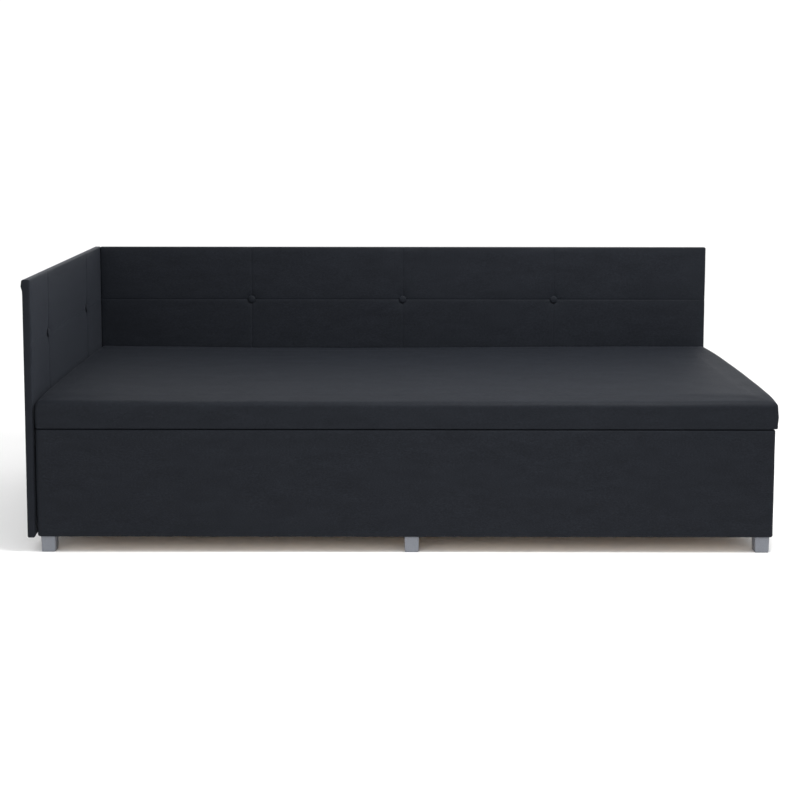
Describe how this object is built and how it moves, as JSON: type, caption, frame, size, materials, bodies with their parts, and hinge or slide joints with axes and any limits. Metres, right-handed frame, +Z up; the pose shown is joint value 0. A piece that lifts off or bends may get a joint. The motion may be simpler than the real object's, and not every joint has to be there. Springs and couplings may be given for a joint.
{
  "type": "daybed",
  "caption": "Upholstered single daybed with a lift-up mattress lid over a bedding box, a long tufted back panel and a tufted side panel, on short square feet.",
  "frame": {"origin": "centre of the footprint, on the floor", "axes": "+X along the bed, away from the side panel; +Y towards the back panel; +Z up"},
  "size_m": [2.0344, 0.9506, 0.7475],
  "materials": {
    "graphite_velvet": "matte",
    "foam": "matte",
    "dust_cloth": "matte",
    "hardboard": "matte",
    "chipboard": "matte",
    "pine": "matte",
    "silver_plastic": "satin",
    "black_enamel": "satin",
    "chrome": "polished",
    "zinc_steel": "satin"
  },
  "bodies": {
    "base": {"back_board": "chipboard", "back_bolt_1": "zinc_steel", "back_bolt_2": "zinc_steel", "back_button_1": "graphite_velvet", "back_button_2": "graphite_velvet", "back_button_3": "graphite_velvet", "back_cover": "graphite_velvet", "back_foam": "foam", "box_cover": "graphite_velvet", "box_floor": "hardboard", "box_front_board": "chipboard", "box_left_board": "chipboard", "box_rear_board": "chipboard", "box_right_board": "chipboard", "corner_block_front_left": "pine", "corner_block_front_right": "pine", "corner_block_rear_left": "pine", "corner_block_rear_right": "pine", "floor_batten": "pine", "floor_cleat_front": "pine", "floor_cleat_rear": "pine", "foot_front_left": "silver_plastic", "foot_front_middle": "silver_plastic", "foot_front_right": "silver_plastic", "foot_rear_left": "silver_plastic", "foot_rear_middle": "silver_plastic", "foot_rear_right": "silver_plastic", "lift_plate_left": "zinc_steel", "lift_plate_right": "zinc_steel", "side_board": "chipboard", "side_bolt_1": "zinc_steel", "side_bolt_2": "zinc_steel", "side_button_1": "graphite_velvet", "side_button_2": "graphite_velvet", "side_cover": "graphite_velvet", "side_foam": "foam"},
    "rear_arms": {"rear_arm_left": "zinc_steel", "rear_arm_right": "zinc_steel"},
    "lid": {"lid_board": "hardboard", "lid_bracket_left": "zinc_steel", "lid_bracket_right": "zinc_steel", "lid_dust_cloth": "dust_cloth", "lid_rail_front": "pine", "lid_rail_left": "pine", "lid_rail_rear": "pine", "lid_rail_right": "pine", "lid_slat_1": "pine", "lid_slat_2": "pine", "lid_slat_3": "pine", "mattress_cover": "graphite_velvet", "mattress_foam": "foam"},
    "front_arms": {"front_arm_left": "zinc_steel", "front_arm_right": "zinc_steel"},
    "strut_tubes": {"gas_cylinder_left": "black_enamel", "gas_cylinder_right": "black_enamel"},
    "strut_rods": {"gas_rod_left": "chrome", "gas_rod_right": "chrome"}
  },
  "joints": [
    {"name": "lid_lift", "type": "hinge", "parent": "base", "child": "rear_arms", "pos_m": [0.0092, 0.16885, 0.3028], "axis": [1, 0, 0], "range_deg": [0, 44]},
    {"name": "lid_tilt", "type": "hinge", "parent": "rear_arms", "child": "lid", "pos_m": [0.0092, 0.29535, 0.33], "axis": [-1, 0, 0], "range_deg": [0, 81.3]},
    {"name": "front_arm_swing", "type": "hinge", "parent": "base", "child": "front_arms", "pos_m": [0.0092, -0.07165, 0.14], "axis": [1, 0, 0], "range_deg": [0, 21.68]},
    {"name": "strut_swing", "type": "hinge", "parent": "base", "child": "strut_tubes", "pos_m": [0.0092, 0.19695, 0.09], "axis": [1, 0, 0], "range_deg": [0, 10.86]},
    {"name": "strut_extend", "type": "slide", "parent": "strut_tubes", "child": "strut_rods", "axis": [0, -0.1126, 0.9936], "range_m": [0, 0.0958]}
  ],
  "couplings": [
    {"joint": "lid_tilt", "follows": "lid_lift", "ratio": 1.8471},
    {"joint": "front_arm_swing", "follows": "lid_lift", "ratio": 0.49218},
    {"joint": "strut_swing", "follows": "lid_lift", "ratio": 0.24625},
    {"joint": "strut_extend", "follows": "lid_lift", "m_per_rad": 0.12461}
  ]
}
